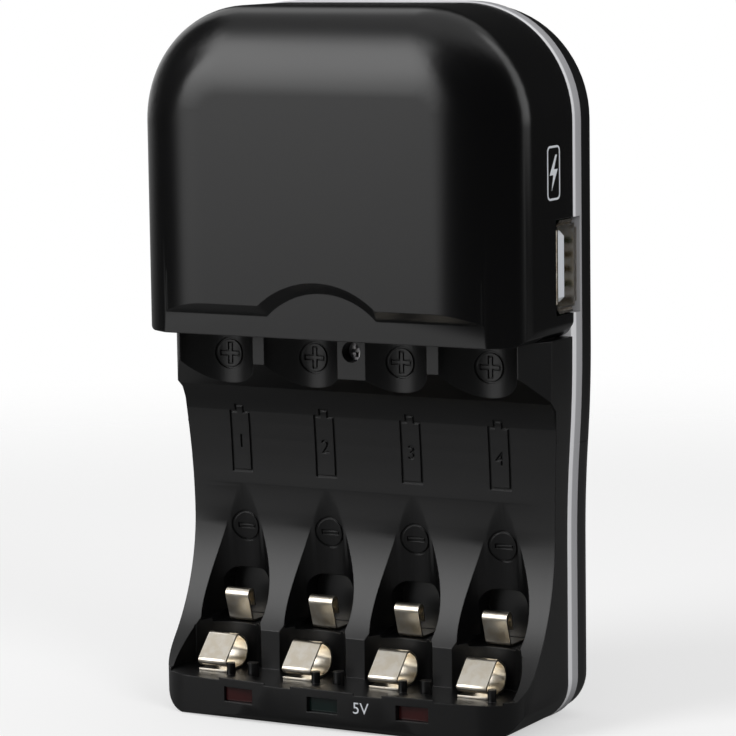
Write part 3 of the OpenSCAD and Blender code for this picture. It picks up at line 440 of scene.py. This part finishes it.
def shade(piece, angle):
    """Smooth shading with sharp edges past an angle, true on flat faces."""
    piece.data.shade_smooth()
    piece.data.set_sharp_from_angle(angle=math.radians(angle))
    even = piece.modifiers.new("even_shading", "WEIGHTED_NORMAL")
    even.keep_sharp = True
    settle(piece)


def wall_of(piece):
    """A piece's surface, to place things on."""
    mesh = piece.data
    return BVHTree.FromPolygons([v.co for v in mesh.vertices], [p.vertices for p in mesh.polygons])


def give(piece, slot, body="case"):
    """Gives a finished piece its material and its body."""
    piece.data.materials.clear()
    piece.data.materials.append(finishes[slot])
    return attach(piece, body)


# Flat outlines, in millimetres


def circle(u, v, radius, count=40):
    """A round outline."""
    turns = [2 * math.pi * i / count for i in range(count)]
    return [(u + radius * math.cos(a), v + radius * math.sin(a)) for a in turns]


def bar(u, v, half, height):
    """The outline of a minus sign."""
    h = height / 2
    return [(u - half, v - h), (u + half, v - h), (u + half, v + h), (u - half, v + h)]


def round_block(u0, v0, u1, v1, radius, count=6):
    """A rectangular outline with round corners."""
    left, right, low, high = u0 + radius, u1 - radius, v0 + radius, v1 - radius
    corners = [(right, high), (left, high), (left, low), (right, low)]
    points = []
    for k, (u, v) in enumerate(corners):
        for i in range(count + 1):
            a = math.pi / 2 * (k + i / count)
            points.append((u + radius * math.cos(a), v + radius * math.sin(a)))
    return points


def cross(u, v, arm, height):
    """The outline of a plus sign with arms of that height."""
    h = height / 2
    corner = [(h, arm), (h, h), (arm, h), (arm, -h), (h, -h), (h, -arm)]
    return [(u + x, v + z) for x, z in corner + [(-x, -z) for x, z in corner]]


def bolt(u, v, height):
    """The outline of a lightning bolt."""
    shape = [
        (0.12, 0.5), (-0.26, -0.06), (-0.02, -0.06), (-0.14, -0.5),
        (0.26, 0.1), (0.02, 0.1), (0.22, 0.5),
    ]
    return [(u + x * height, v + z * height) for x, z in shape]


def letters(text, u, v, height):
    """The outlines of a line of text, its middle at a place."""
    curve = bpy.data.curves.new("letters", "FONT")
    curve.body = text
    source = bpy.data.objects.new("letters", curve)
    scene.collection.objects.link(source)
    mesh = bpy.data.meshes.new_from_object(source.evaluated_get(bpy.context.evaluated_depsgraph_get()))
    work = bmesh.new()
    work.from_mesh(mesh)
    bmesh.ops.remove_doubles(work, verts=work.verts, dist=HAIR)
    loops = []
    left = {e for e in work.edges if e.is_boundary}
    while left:
        edge = left.pop()
        first, last = edge.verts
        loop = [first, last]
        while loop[-1] is not first:
            edge = next(e for e in loop[-1].link_edges if e in left)
            left.remove(edge)
            loop.append(edge.other_vert(loop[-1]))
        loops.append([(p.co.x, p.co.y) for p in loop[:-1]])
    work.free()
    bpy.data.objects.remove(source)
    xs = [x for loop in loops for x, _ in loop]
    ys = [y for loop in loops for _, y in loop]
    scale = height / (max(ys) - min(ys))
    across, up = (min(xs) + max(xs)) / 2, (min(ys) + max(ys)) / 2
    return [[(u + (x - across) * scale, v + (y - up) * scale) for x, y in loop] for loop in loops]


# Shapes on a curved wall


def inside(point, loops):
    """Whether a point lies in the region between the outlines."""
    u, v = point
    crossings = 0
    for loop in loops:
        for (u0, v0), (u1, v1) in zip(loop, loop[1:] + loop[:1]):
            if (v0 > v) != (v1 > v) and u < u0 + (v - v0) * (u1 - u0) / (v1 - v0):
                crossings += 1
    return crossings % 2 == 1


def split(loop, step):
    """An outline with points no further apart than a step."""
    points = []
    for (u0, v0), (u1, v1) in zip(loop, loop[1:] + loop[:1]):
        count = max(1, math.ceil(math.hypot(u1 - u0, v1 - v0) / step))
        points += [(u0 + (u1 - u0) * i / count, v0 + (v1 - v0) * i / count) for i in range(count)]
    return points


def filled(loops, step):
    """Points and triangles of the region between outlines, fine enough to follow a curved wall."""
    points, edges = [], []
    for loop in loops:
        fine = split(loop, step)
        start = len(points)
        points += fine
        edges += [(start + i, start + (i + 1) % len(fine)) for i in range(len(fine))]
    us, vs = [p[0] for p in points], [p[1] for p in points]
    for i in range(math.ceil((max(us) - min(us)) / step)):
        for k in range(math.ceil((max(vs) - min(vs)) / step)):
            points.append((min(us) + (i + 0.5) * step, min(vs) + (k + 0.5) * step))
    flat, _, triangles, *_ = geometry.delaunay_2d_cdt([Vector(p) for p in points], edges, [], 0, HAIR)
    middles = [sum((flat[i] for i in t), Vector((0, 0))) / 3 for t in triangles]
    return flat, [t for t, m in zip(triangles, middles) if inside(m, loops)]


def slab_on_wall(name, loops, wall, origin, towards, proud, sunk, step=MARK_STEP):
    """A slab that follows a wall, from proud of it to sunk in it. The outlines are seen along towards,
    with u along the horizontal across it and v up; all in millimetres."""
    flat, triangles = filled(loops, step)
    towards = Vector(towards)
    across = Vector((0, 0, 1)).cross(-towards)
    used = sorted({i for t in triangles for i in t})
    order = {i: k for k, i in enumerate(used)}
    tops, bottoms = [], []
    for i in used:
        eye = Vector(origin) * MM + across * flat[i].x * MM + Vector((0, 0, flat[i].y * MM))
        hit = wall.ray_cast(eye, towards)[0]
        tops.append(hit - towards * proud * MM)
        bottoms.append(hit + towards * sunk * MM)
    count = len(used)
    faces, sides = [], {}
    for t in triangles:
        a, b, c = (order[i] for i in t)
        faces += [(a, b, c), (count + c, count + b, count + a)]
        for edge in ((a, b), (b, c), (c, a)):
            key = tuple(sorted(edge))
            sides[key] = None if key in sides else edge
    faces += [(e[1], e[0], count + e[0], count + e[1]) for e in sides.values() if e]
    return new_piece(name, tops + bottoms, faces)


# Repeats


def row_tree():
    """Geometry nodes that set copies of a mesh in a row along X."""
    tree = bpy.data.node_groups.new("bay_row", "GeometryNodeTree")
    kinds = {
        "Mark": "NodeSocketGeometry", "Count": "NodeSocketInt", "Pitch": "NodeSocketFloat",
        "Finish": "NodeSocketMaterial",
    }
    for socket, kind in kinds.items():
        tree.interface.new_socket(socket, in_out="INPUT", socket_type=kind)
    tree.interface.new_socket("Row", in_out="OUTPUT", socket_type="NodeSocketGeometry")
    given, result = put(tree, "NodeGroupInput").outputs, put(tree, "NodeGroupOutput").inputs
    pitch = put(tree, "ShaderNodeCombineXYZ", {"X": given["Pitch"]}).outputs[0]
    line = put(tree, "GeometryNodeMeshLine", {"Count": given["Count"], "Offset": pitch}).outputs[0]
    placed = {"Points": line, "Instance": given["Mark"]}
    copies = put(tree, "GeometryNodeInstanceOnPoints", placed).outputs[0]
    joined = put(tree, "GeometryNodeRealizeInstances", {"Geometry": copies}).outputs[0]
    coat = {"Geometry": joined, "Material": given["Finish"]}
    tree.links.new(put(tree, "GeometryNodeSetMaterial", coat).outputs[0], result["Row"])
    return tree


bay_row = row_tree()


def repeat_in_bays(piece, pitch, slot):
    """Copies a piece made in the first bay into each of the others."""
    row = piece.modifiers.new("bay_row", "NODES")
    row.node_group = bay_row
    values = {"Count": BAYS, "Pitch": pitch, "Finish": finishes[slot]}
    for socket in bay_row.interface.items_tree:
        if socket.name in values:
            row[socket.identifier] = values[socket.name]
    settle(piece)


# Bay housing with its moulded marks


def middle_x(node):
    """A node's middle across the case, in millimetres."""
    low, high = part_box(node)
    return (low.x + high.x) / 2 / MM


bay_x = [middle_x(f"aa_spring_{i + 1}") for i in range(BAYS)]
FRONT = {"origin": (0, -VIEW_FROM, 0), "towards": (0, 1, 0)}
RIGHT = {"origin": (VIEW_FROM, 0, 0), "towards": (-1, 0, 0)}


def cell_outline(x, grow):
    """The outline of a cell standing on its flat end, grown outwards."""
    low, high = OUTLINE_Z[0] - grow, OUTLINE_Z[1] + grow
    half, cap_half = OUTLINE_HALF + grow, OUTLINE_CAP_HALF + grow
    return [
        (x - half, low), (x + half, low), (x + half, high), (x + cap_half, high),
        (x + cap_half, high + OUTLINE_CAP), (x - cap_half, high + OUTLINE_CAP),
        (x - cap_half, high), (x - half, high),
    ]


def cove():
    """A bar with a hollow front that eases the bay floor into the shelf under the hood."""
    profile = [(COVE_BACK, COVE_Z + COVE_R * math.sin(math.radians(COVE_TURN))), (COVE_BACK, COVE_Z)]
    for turn in range(0, COVE_TURN + 1, COVE_STEP):
        a = math.radians(turn)
        profile.append((COVE_FRONT - COVE_R * (1 - math.cos(a)), COVE_Z + COVE_R * math.sin(a)))
    n = len(profile)
    verts = [Vector((x, y, z)) * MM for x in (-COVE_HALF, COVE_HALF) for y, z in profile]
    faces = [tuple(range(n)), tuple(range(n, 2 * n))]
    faces += [(i, (i + 1) % n, n + (i + 1) % n, n + i) for i in range(n)]
    return new_piece("cove", verts, faces)


def bay_housing():
    """The bay section with its cove and its sunk plus, minus and cell marks."""
    piece = merged_copy("bay_housing", "front_housing")
    ease = cove()
    join = piece.modifiers.new("cove", "BOOLEAN")
    join.operation = "UNION"
    join.solver = "EXACT"
    join.object = ease
    settle(piece)
    bpy.data.objects.remove(ease)
    wall = wall_of(piece)
    sink = {"wall": wall, "proud": MARK_PROUD, "sunk": MARK_DEPTH, **FRONT}
    x, line = bay_x[0], MARK_LINE / 2
    plus_inner = cross(x, PLUS_Z, PLUS_ARM - line, PLUS_BAR - MARK_LINE)
    minus_inner = bar(x, MINUS_Z, MINUS_HALF - line, MINUS_BAR - MARK_LINE)
    grooves = {
        "plus_ring": [circle(x, PLUS_Z, DISC_R + line), circle(x, PLUS_Z, DISC_R - line)],
        "plus_sign": [cross(x, PLUS_Z, PLUS_ARM, PLUS_BAR), plus_inner],
        "minus_ring": [circle(x, MINUS_Z, DISC_R + line), circle(x, MINUS_Z, DISC_R - line)],
        "minus_sign": [bar(x, MINUS_Z, MINUS_HALF, MINUS_BAR), minus_inner],
        "cell_sign": [cell_outline(x, line), cell_outline(x, -line)],
    }
    tools = [slab_on_wall(name, loops, **sink) for name, loops in grooves.items()]
    for tool in tools:
        repeat_in_bays(tool, (bay_x[1] - bay_x[0]) * MM, "black_plastic")
    for i, x in enumerate(bay_x):
        digit = letters(str(i + 1), x, sum(OUTLINE_Z) / 2, DIGIT_HEIGHT)
        tools.append(slab_on_wall(f"bay_number_{i + 1}", digit, **sink))
    for tool in tools:
        carve = piece.modifiers.new(tool.name, "BOOLEAN")
        carve.operation = "DIFFERENCE"
        carve.solver = "EXACT"
        carve.object = tool
    settle(piece)
    for tool in tools:
        bpy.data.objects.remove(tool)
    shade(piece, SHELL_CREASE)
    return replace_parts(give(piece, "black_plastic"), "front_housing")


housing = bay_housing()


# Shells with their rounder top corners


def smooth(value, low, high):
    """A smooth step from 0 to 1 as value goes from low to high."""
    t = min(max((value - low) / (high - low), 0.0), 1.0)
    return t * t * (3 - 2 * t)


def round_corner(place):
    """A place on a shell moved so that the two top corners have a larger radius; in millimetres."""
    x, y, z = place
    a, b = abs(x) - CORNER[0], z - CORNER[1]
    goal, near = (abs(x), z), 0.0
    if a > 0 and b > 0:
        far = math.hypot(a, b)
        near = far
        scale = (far + CORNER_GROW) / far
        goal = (CORNER[0] - CORNER_GROW + a * scale, CORNER[1] - CORNER_GROW + b * scale)
    elif b > 0:
        near = b
        goal = (abs(x) * (1 - CORNER_GROW / CORNER[0]), z)
    elif a > 0 and z > CORNER_FOOT:
        near = a
        goal = (abs(x), z - CORNER_GROW * (z - CORNER_FOOT) / (CORNER[1] - CORNER_FOOT))
    share = smooth(near, *CORNER_FADE)
    new_x = abs(x) + (goal[0] - abs(x)) * share
    return Vector((math.copysign(new_x, x), y, z + (goal[1] - z) * share))


def band_place(place):
    """A place on the trim band, narrower along the depth."""
    y = place.y
    for (y0, new0), (y1, new1) in zip(BAND_Y, BAND_Y[1:]):
        if y0 - NEAR <= y <= y1 + NEAR:
            y = new0 + (new1 - new0) * (y - y0) / (y1 - y0)
            break
    return round_corner(Vector((place.x, y, place.z)))


def rear_place(place):
    """A place on the back shell, fuller at its sides and up to the band's back edge."""
    rim_old, rim_new = BAND_Y[-1]
    y = rim_new if abs(place.y - rim_old) < NEAR else place.y
    return round_corner(Vector((place.x * REAR_GROW, y, place.z)))


def tongue_place(place):
    """A place on the socket's tongue, its free end further out and thicker."""
    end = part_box("usb_tongue")[1].x / MM
    if end - place.x > TONGUE_TIP:
        return place
    thicker = TONGUE_THICKER if place.y < TONGUE_MIDDLE_Y else 0.0
    return place + Vector((TONGUE_OUT, -thicker, 0))


def band_bridge():
    """The narrow run of the band behind the socket."""
    corners = [Vector((x, y, z)) * MM for z in BRIDGE_Z for y in BRIDGE_Y for x in BRIDGE_X]
    faces = [(0, 1, 3, 2), (4, 5, 7, 6), (0, 1, 5, 4), (2, 3, 7, 6), (0, 2, 6, 4), (1, 3, 7, 5)]
    give(new_piece("band_bridge", corners, faces), "silver_trim")


def reshaped(name, node, slot, move):
    """A merged copy of a CAD shell with its places moved."""
    piece = merged_copy(name, node, SHELL_REACH)
    for vertex in piece.data.vertices:
        vertex.co = move(vertex.co / MM) * MM
    shade(piece, SHELL_CREASE)
    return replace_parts(give(piece, slot), node)


hood = reshaped("hood_shell", "hood_cover", "hood_plastic", round_corner)
reshaped("side_band", "trim_band", "silver_trim", band_place)
reshaped("back_shell", "rear_cover", "black_plastic", rear_place)
reshaped("socket_tongue", "usb_tongue", "white_plastic", tongue_place)
band_bridge()


# Contact strips


def arc_points(centre, radius, first, last, count=12):
    """Points of an arc in Y and Z, between two angles in degrees."""
    turns = [math.radians(first + (last - first) * i / count) for i in range(count + 1)]
    return [Vector((centre[0] + radius * math.cos(a), centre[1] + radius * math.sin(a))) for a in turns]


def tangent(turn):
    """The direction along an arc at an angle in degrees, counter-clockwise."""
    a = math.radians(turn)
    return Vector((-math.sin(a), math.cos(a)))


def contact_strip(name, path, x, width, notch):
    """A folded strip along a path of (y, z) points, with a small notch in its free end."""
    half = width / 2
    side = NOTCH_SHARE * width
    columns = [-half, -side, 0.0, side, half] if notch else [-half, 0.0, half]
    verts, faces = [], []
    for i, point in enumerate(path):
        before, after = path[max(i - 1, 0)], path[min(i + 1, len(path) - 1)]
        along = (after - before).normalized()
        out = Vector((along.y, -along.x)) * LEAF_T / 2
        for u in columns:
            back = along * notch if notch and u == 0.0 and i == len(path) - 1 else Vector((0, 0))
            for face in (1, -1):
                place = point - back + out * face
                verts.append(Vector((x + u, place.x, place.y)) * MM)
    n = len(columns)
    for i in range(len(path) - 1):
        for k in range(n - 1):
            for face in (0, 1):
                a = 2 * (i * n + k) + face
                faces.append((a, a + 2, a + 2 + 2 * n, a + 2 * n))
        for k in (0, n - 1):
            a = 2 * (i * n + k)
            faces.append((a, a + 1, a + 1 + 2 * n, a + 2 * n))
    for i in (0, len(path) - 1):
        for k in range(n - 1):
            a = 2 * (i * n + k)
            faces.append((a, a + 1, a + 3, a + 2))
    piece = new_piece(name, verts, faces)
    soft = piece.modifiers.new("soft_edges", "BEVEL")
    soft.width = LEAF_EDGE * MM
    soft.segments = 2
    soft.limit_method = "ANGLE"
    soft.angle_limit = math.radians(STRIP_CORNER)
    settle(piece)
    shade(piece, STRIP_CREASE)
    return piece


def aa_path():
    """The AA strip from its base round its loop, over its crest and down to its nose."""
    base = Vector((AA_BASE_Y, AA_LOOP[1] - AA_LOOP_R))
    loop = arc_points(AA_LOOP, AA_LOOP_R, -90, AA_LOOP_END)
    crest = arc_points(AA_CREST, AA_CREST_R, AA_LOOP_END, AA_CREST_END)
    nose = arc_points(AA_NOSE, AA_NOSE_R, AA_CREST_END, AA_NOSE_END)
    return [base] + loop + crest + nose + [nose[-1] + AA_TIP * tangent(AA_NOSE_END)]


def aaa_path():
    """The AAA strip from its base up its lean, over its crest and down at its back."""
    lean = math.radians(AAA_LEAN)
    shift = AAA_CREST_R - AAA_FOOT_R
    rise = (AAA_TOP_Z - AAA_CREST_R - AAA_FOOT[1] - shift * math.sin(lean)) / math.cos(lean)
    out = Vector((math.cos(lean), math.sin(lean)))
    middle = Vector(AAA_FOOT) + shift * out + rise * tangent(AAA_LEAN)
    base = Vector((AAA_BASE_Y, AAA_FOOT[1] - AAA_FOOT_R))
    foot = arc_points(AAA_FOOT, AAA_FOOT_R, 270, 180 + AAA_LEAN)
    crest = arc_points(middle, AAA_CREST_R, 180 + AAA_LEAN, AAA_CREST_END)
    return [base] + foot + crest + [crest[-1] - AAA_TAIL * tangent(AAA_CREST_END)]


def leaf_contacts():
    """The folded contacts of both cell lengths in each bay."""
    kinds = {
        "aa": (aa_path(), AA_WIDTH, AA_NOTCH, AA_BEND_Z),
        "aaa": (aaa_path(), AAA_WIDTH, 0.0, AAA_BEND_Z),
    }
    for i, x in enumerate(bay_x):
        for kind, (path, width, notch, bend) in kinds.items():
            piece = contact_strip(f"{kind}_contact_{i + 1}", path, x, width, notch)
            piece.data.materials.append(finishes["nickel_leaf"])
            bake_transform(piece)
            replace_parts(piece, f"{kind}_spring_{i + 1}")


# Light, floor and camera


def studio_world():
    """A white surround to the eye, and soft panels in what shines."""
    world = bpy.data.worlds.new("soft_studio")
    scene.world = world
    world.use_nodes = True
    tree = world.node_tree
    tree.nodes.clear()
    ray = put(tree, "ShaderNodeLightPath").outputs
    place = put(tree, "ShaderNodeTexCoord").outputs["Generated"]
    axes = put(tree, "ShaderNodeSeparateXYZ", {0: place}).outputs
    towards = calc(tree, "ARCTAN2", axes["X"], calc(tree, "MULTIPLY", axes["Y"], -1.0))
    azimuth = calc(tree, "DEGREES", towards)
    elevation = calc(tree, "DEGREES", calc(tree, "ARCSINE", axes["Z"]))
    level = SHINE_BASE
    for strength, sizes in LIGHT_PANELS:
        panel = put(tree, "ShaderNodeGroup", node_tree=soft_panel)
        tree.links.new(azimuth, panel.inputs["Azimuth"])
        tree.links.new(elevation, panel.inputs["Elevation"])
        for key, value in sizes.items():
            panel.inputs[key].default_value = value
        level = calc(tree, "ADD", calc(tree, "MULTIPLY", panel.outputs["Mask"], strength), level)
    shine = calc(tree, "MAXIMUM", ray["Is Glossy Ray"], ray["Is Transmission Ray"])
    lit = put(tree, "ShaderNodeMix", {0: shine, 2: SOFT_LIGHT, 3: level}, data_type="FLOAT").outputs[0]
    eye = {0: ray["Is Camera Ray"], 2: lit, 3: 1.0}
    seen = put(tree, "ShaderNodeMix", eye, data_type="FLOAT").outputs[0]
    background = put(tree, "ShaderNodeBackground", {"Color": WHITE, "Strength": seen})
    put(tree, "ShaderNodeOutputWorld", {"Surface": background.outputs[0]})


def soft_lamp(name, place, size, power):
    """An area lamp that lights without showing in what shines."""
    lamp = bpy.data.lights.new(name, "AREA")
    lamp.shape = "DISK"
    lamp.size = size
    lamp.energy = power
    holder = bpy.data.objects.new(name, lamp)
    scene.collection.objects.link(holder)
    aim = Vector(LAMP_TARGET) - Vector(place)
    turn = aim.to_track_quat("-Z", "Y").to_matrix().to_4x4()
    holder.matrix_world = Matrix.Translation(place) @ turn
    holder.visible_glossy = False


def pale_floor():
    """A pale round floor that fades into the white surround and keeps the shadow."""
    rim = [Vector((u, v, 0)) for u, v in circle(0, 0, FLOOR_R, 96)]
    floor = new_piece("pale_floor", rim, [tuple(range(len(rim)))])
    material = bpy.data.materials.new("pale_floor")
    material.use_nodes = True
    tree = material.node_tree
    tree.nodes.clear()
    ray = put(tree, "ShaderNodeLightPath").outputs
    place = put(tree, "ShaderNodeTexCoord").outputs["Object"]
    far = put(tree, "ShaderNodeVectorMath", {0: place}, operation="LENGTH")
    fade = ramp(tree, far.outputs["Value"], *FLOOR_FADE)
    matt = put(tree, "ShaderNodeBsdfDiffuse", {"Color": FLOOR_MATT}).outputs[0]
    glow = put(tree, "ShaderNodeEmission", {"Color": WHITE, "Strength": FLOOR_GLOW}).outputs[0]
    white = put(tree, "ShaderNodeAddShader", {0: matt, 1: glow}).outputs[0]
    dim = put(tree, "ShaderNodeBsdfDiffuse", {"Color": FLOOR_DIM}).outputs[0]
    shown = put(tree, "ShaderNodeMixShader", {0: ray["Is Camera Ray"], 1: dim, 2: white}).outputs[0]
    clear = put(tree, "ShaderNodeBsdfTransparent").outputs[0]
    surface = put(tree, "ShaderNodeMixShader", {0: fade, 1: shown, 2: clear}).outputs[0]
    put(tree, "ShaderNodeOutputMaterial", {"Surface": surface})
    floor.data.materials.append(material)


def photo_camera():
    """The photograph's camera."""
    yaw, pitch, roll = (math.radians(a) for a in (CAMERA_YAW, CAMERA_PITCH, CAMERA_ROLL))
    level = Vector((math.cos(yaw), math.sin(yaw), 0))
    ahead = Vector((-level.y * math.cos(pitch), level.x * math.cos(pitch), -math.sin(pitch)))
    down = ahead.cross(level)
    right = math.cos(roll) * level + math.sin(roll) * down
    below = math.cos(roll) * down - math.sin(roll) * level
    lens = bpy.data.cameras.new("photo_camera")
    lens.sensor_width = SENSOR
    lens.lens = CAMERA_FOCUS * SENSOR / IMAGE_SIZE
    lens.clip_start = 0.01
    holder = bpy.data.objects.new("photo_camera", lens)
    scene.collection.objects.link(holder)
    turn = Matrix((right, -below, -ahead)).transposed().to_4x4()
    holder.matrix_world = Matrix.Translation(Vector(CAMERA_PLACE) * MM) @ turn
    scene.camera = holder


def printed_marks():
    """The bolt in its frame on the hood's side, and the voltage on the lip."""
    ink = {"proud": INK_PROUD, "sunk": INK_SUNK, "step": INK_STEP}
    (u0, v0), (u1, v1) = BOLT_FRAME
    outer = round_block(u0, v0, u1, v1, BOLT_CORNER)
    inner_corner = BOLT_CORNER - INK_LINE
    inner = round_block(u0 + INK_LINE, v0 + INK_LINE, u1 - INK_LINE, v1 - INK_LINE, inner_corner)
    sign = bolt((u0 + u1) / 2, (v0 + v1) / 2, BOLT_HEIGHT)
    voltage = letters("5V", *VOLTAGE_PLACE, VOLTAGE_HEIGHT)
    prints = [
        slab_on_wall("bolt_print", [outer, inner, sign], wall_of(hood), **RIGHT, **ink),
        slab_on_wall("voltage_print", voltage, wall_of(housing), **FRONT, **ink),
    ]
    for piece in prints:
        give(piece, "white_plastic")


leaf_contacts()
printed_marks()
studio_world()
for lamp_name, lamp_values in LAMPS.items():
    soft_lamp(lamp_name, *lamp_values)
pale_floor()
photo_camera()
